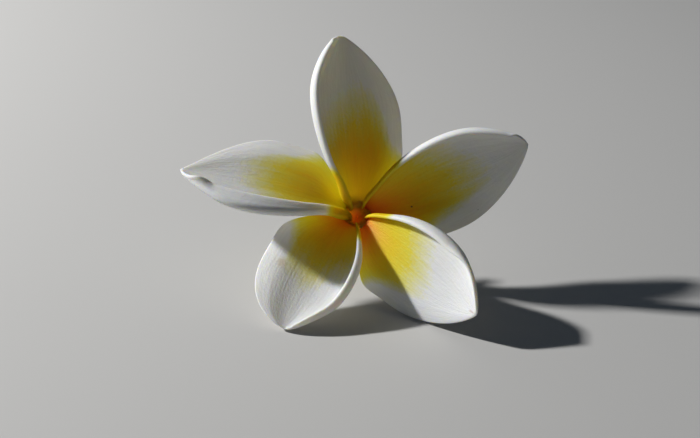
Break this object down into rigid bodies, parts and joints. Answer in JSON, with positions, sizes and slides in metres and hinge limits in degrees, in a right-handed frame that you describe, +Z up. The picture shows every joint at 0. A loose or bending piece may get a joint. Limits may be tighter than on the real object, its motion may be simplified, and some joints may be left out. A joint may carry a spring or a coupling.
{
  "type": "frangipani flower",
  "caption": "Open frangipani flower with thick waxy petals in an overlapping spiral and a narrow tube behind, lying on its lower petals and tube end.",
  "frame": {"origin": "on the ground, under the middle of the flower's spread as it lies", "axes": "+Z up, +X along the widest spread of the petals, -Y the side that the flower faces"},
  "size_m": [0.073, 0.0444, 0.0505],
  "materials": {
    "petal": "waxy satin white, turning yellow and then orange towards the throat",
    "tube": "waxy satin greenish white, orange yellow inside the mouth"
  },
  "bodies": {
    "root": {"petal_top": "petal", "petal_left": "petal", "petal_lower_left": "petal", "petal_lower_right": "petal", "petal_upper_right": "petal", "corolla_tube": "tube"}
  },
  "joints": []
}
